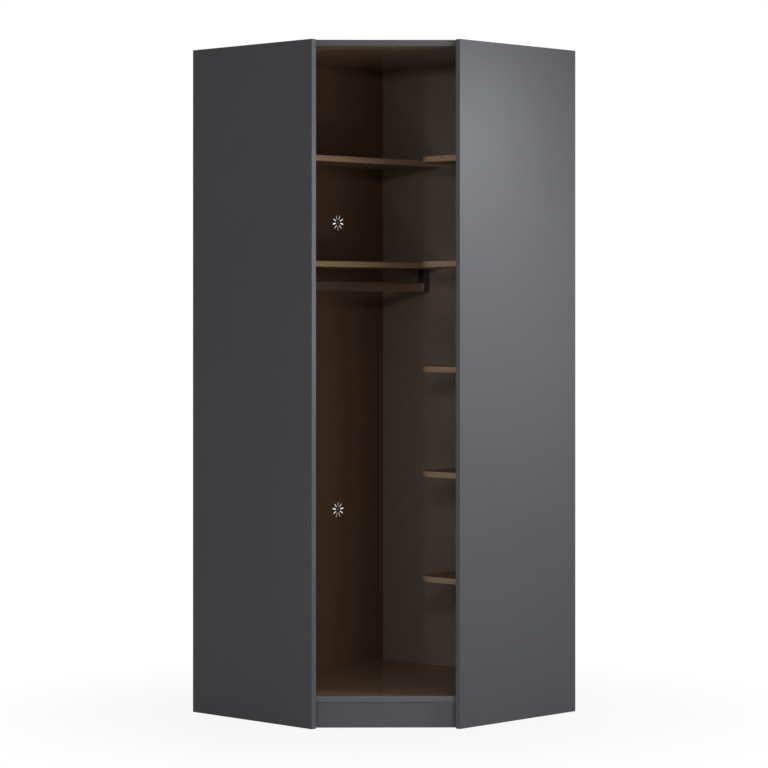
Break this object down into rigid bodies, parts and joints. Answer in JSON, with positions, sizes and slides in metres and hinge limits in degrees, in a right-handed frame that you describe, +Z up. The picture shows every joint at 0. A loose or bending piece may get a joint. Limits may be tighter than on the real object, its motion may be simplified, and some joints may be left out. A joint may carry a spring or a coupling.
{
  "type": "corner wardrobe",
  "caption": "Tall corner wardrobe with an open diagonal front, long shelves over a hanging rail on one side and short rounded shelves on the other.",
  "frame": {"origin": "on the floor under the middle of the outline, which is as wide as it is deep", "axes": "+Z up; the right back panel looks along +X and the left back along +Y at the two room walls; the open front looks out along -X -Y"},
  "size_m": [0.9, 0.9, 2.2],
  "materials": {
    "outer_board": "anthracite melamine board, matt with a fine pore",
    "outer_edging": "anthracite edge band, satin",
    "inner_board": "taupe melamine board with a fine linen weave, matt",
    "hardboard_back": "lacquered hardboard, brown taupe, matt",
    "shelf_board": "taupe melamine board with a fine linen weave, matt",
    "shelf_edging": "light brown edge band, satin",
    "bracket_plastic": "moulded brown-black plastic",
    "screw_steel": "zinc plated",
    "rail_tube": "satin nickel plated steel tube",
    "rail_fitting": "dark nickel pressed steel",
    "pin_steel": "nickel plated",
    "cam_zinc": "raw zinc casting",
    "bolt_steel": "yellow zinc plated",
    "beech_dowel": "plain beech"
  },
  "bodies": {
    "carcass": {"left_side_panel": "outer_board", "right_side_panel": "outer_board", "left_side_edging": "outer_edging", "right_side_edging": "outer_edging", "top_edging": "outer_edging", "bottom_edging": "outer_edging", "top_panel": "inner_board", "bottom_panel": "inner_board", "right_back_panel": "inner_board", "left_back_panel": "hardboard_back", "front_plinth": "outer_board", "rear_plinth": "outer_board", "plinth_brackets": "bracket_plastic", "plinth_screws": "screw_steel", "lower_left_shelf": "shelf_board", "lower_left_shelf_edging": "shelf_edging", "hanging_rail": "rail_tube", "rail_socket": "rail_fitting", "rail_hanger": "rail_fitting", "rail_screws": "screw_steel", "shelf_pins": "pin_steel", "cam_housings": "cam_zinc", "cam_bolts": "bolt_steel", "dowels": "beech_dowel"},
    "upper_left_shelf_unit": {"upper_left_shelf": "shelf_board", "upper_left_shelf_edging": "shelf_edging"},
    "right_shelf_1_unit": {"right_shelf_1": "shelf_board", "right_shelf_1_edging": "shelf_edging"},
    "right_shelf_2_unit": {"right_shelf_2": "shelf_board", "right_shelf_2_edging": "shelf_edging"},
    "right_shelf_3_unit": {"right_shelf_3": "shelf_board", "right_shelf_3_edging": "shelf_edging"},
    "right_shelf_4_unit": {"right_shelf_4": "shelf_board", "right_shelf_4_edging": "shelf_edging"},
    "right_shelf_5_unit": {"right_shelf_5": "shelf_board", "right_shelf_5_edging": "shelf_edging"}
  },
  "joints": [
    {"name": "upper_left_shelf_lift", "type": "slide", "parent": "carcass", "child": "upper_left_shelf_unit", "axis": [0, 0, 1], "range_m": [0, 0.032]},
    {"name": "right_shelf_1_lift", "type": "slide", "parent": "carcass", "child": "right_shelf_1_unit", "axis": [0, 0, 1], "range_m": [0, 0.032]},
    {"name": "right_shelf_2_lift", "type": "slide", "parent": "carcass", "child": "right_shelf_2_unit", "axis": [0, 0, 1], "range_m": [0, 0.032]},
    {"name": "right_shelf_3_lift", "type": "slide", "parent": "carcass", "child": "right_shelf_3_unit", "axis": [0, 0, 1], "range_m": [0, 0.032]},
    {"name": "right_shelf_4_lift", "type": "slide", "parent": "carcass", "child": "right_shelf_4_unit", "axis": [0, 0, 1], "range_m": [0, 0.032]},
    {"name": "right_shelf_5_lift", "type": "slide", "parent": "carcass", "child": "right_shelf_5_unit", "axis": [0, 0, 1], "range_m": [0, 0.032]}
  ]
}
